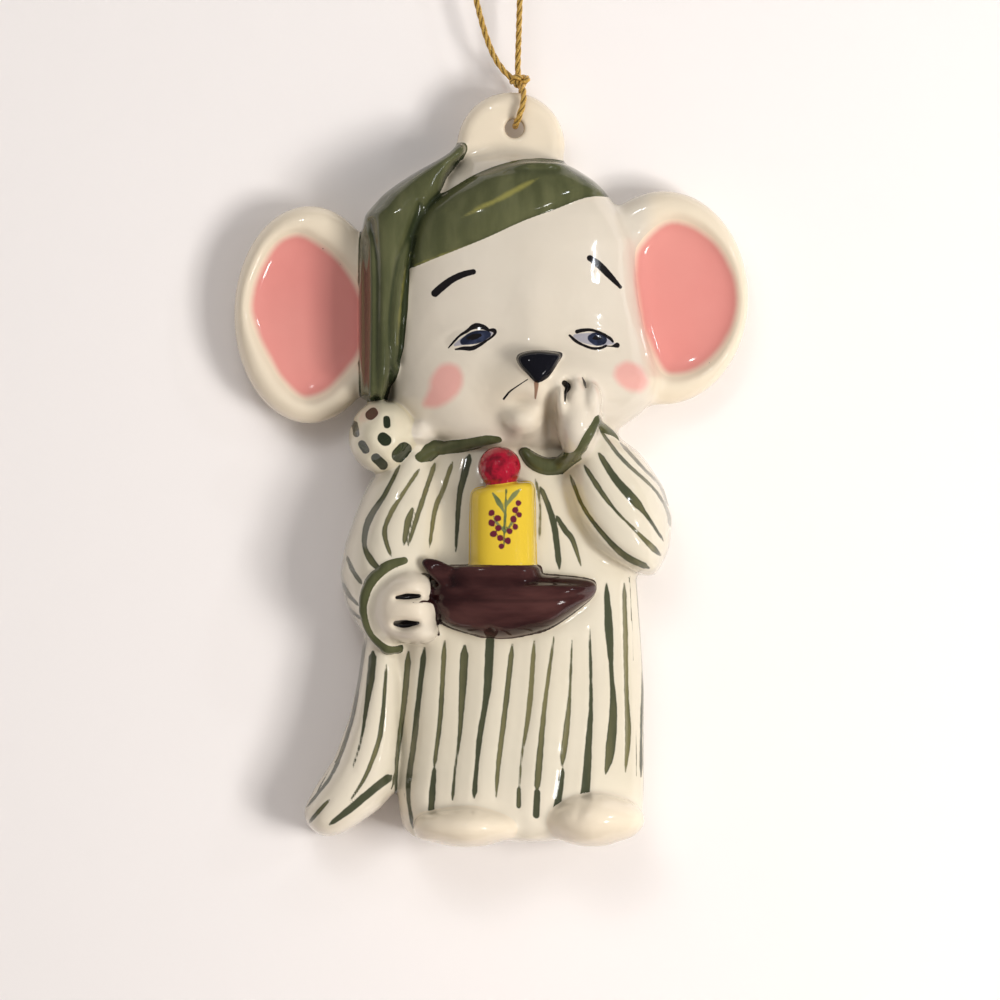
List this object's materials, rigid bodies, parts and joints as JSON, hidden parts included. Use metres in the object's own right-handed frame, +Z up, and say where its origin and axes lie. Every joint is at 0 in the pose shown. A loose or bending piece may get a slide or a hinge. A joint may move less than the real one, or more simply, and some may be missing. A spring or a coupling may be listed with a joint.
{
  "type": "hanging mouse ornament",
  "caption": "Flat-backed glazed ceramic mouse in nightcap and striped nightshirt, yawning and holding a candle in a dish, hung by a thin gold cord through a lug on its head.",
  "frame": {"origin": "underside of the cord loop's top, where the loop hangs on its hook", "axes": "+Z up along the hanging ornament, -Y out of the mouse's face, +Y out of its flat back, +X to the viewer's right"},
  "size_m": [0.0618, 0.0184, 0.1466],
  "materials": {
    "glazed_white": "gloss",
    "glazed_cream": "gloss",
    "glazed_pink": "gloss",
    "glazed_olive": "gloss",
    "glazed_spotted": "gloss",
    "glazed_black": "gloss",
    "glazed_yellow": "gloss",
    "glazed_crimson": "gloss",
    "glazed_maroon": "gloss",
    "gold_cord": "metallic thread"
  },
  "bodies": {
    "hanger": {"lug_knot": "gold_cord", "cord_loop": "gold_cord", "cord_eye": "gold_cord"},
    "figurine": {"head": "glazed_white", "muzzle": "glazed_white", "chin": "glazed_white", "nose": "glazed_black", "right_ear": "glazed_white", "left_ear": "glazed_white", "right_ear_lining": "glazed_pink", "left_ear_lining": "glazed_pink", "hanging_lug": "glazed_white", "cap_crown": "glazed_white", "cap_band": "glazed_olive", "cap_tail": "glazed_olive", "pom_pom": "glazed_spotted", "nightshirt": "glazed_cream", "shirt_train": "glazed_cream", "right_sleeve": "glazed_cream", "left_sleeve": "glazed_cream", "right_cuff": "glazed_olive", "right_collar": "glazed_olive", "left_collar": "glazed_olive", "right_hand": "glazed_white", "left_hand": "glazed_white", "candle": "glazed_yellow", "flame": "glazed_crimson", "candle_socket": "glazed_maroon", "dish": "glazed_maroon", "dish_handle": "glazed_maroon", "right_foot": "glazed_white", "left_foot": "glazed_white"}
  },
  "joints": [
    {"name": "figurine_swing", "type": "hinge", "parent": "hanger", "child": "figurine", "pos_m": [0, 0, -0.05964], "axis": [0, 1, 0], "range_deg": [-30, 30]}
  ]
}
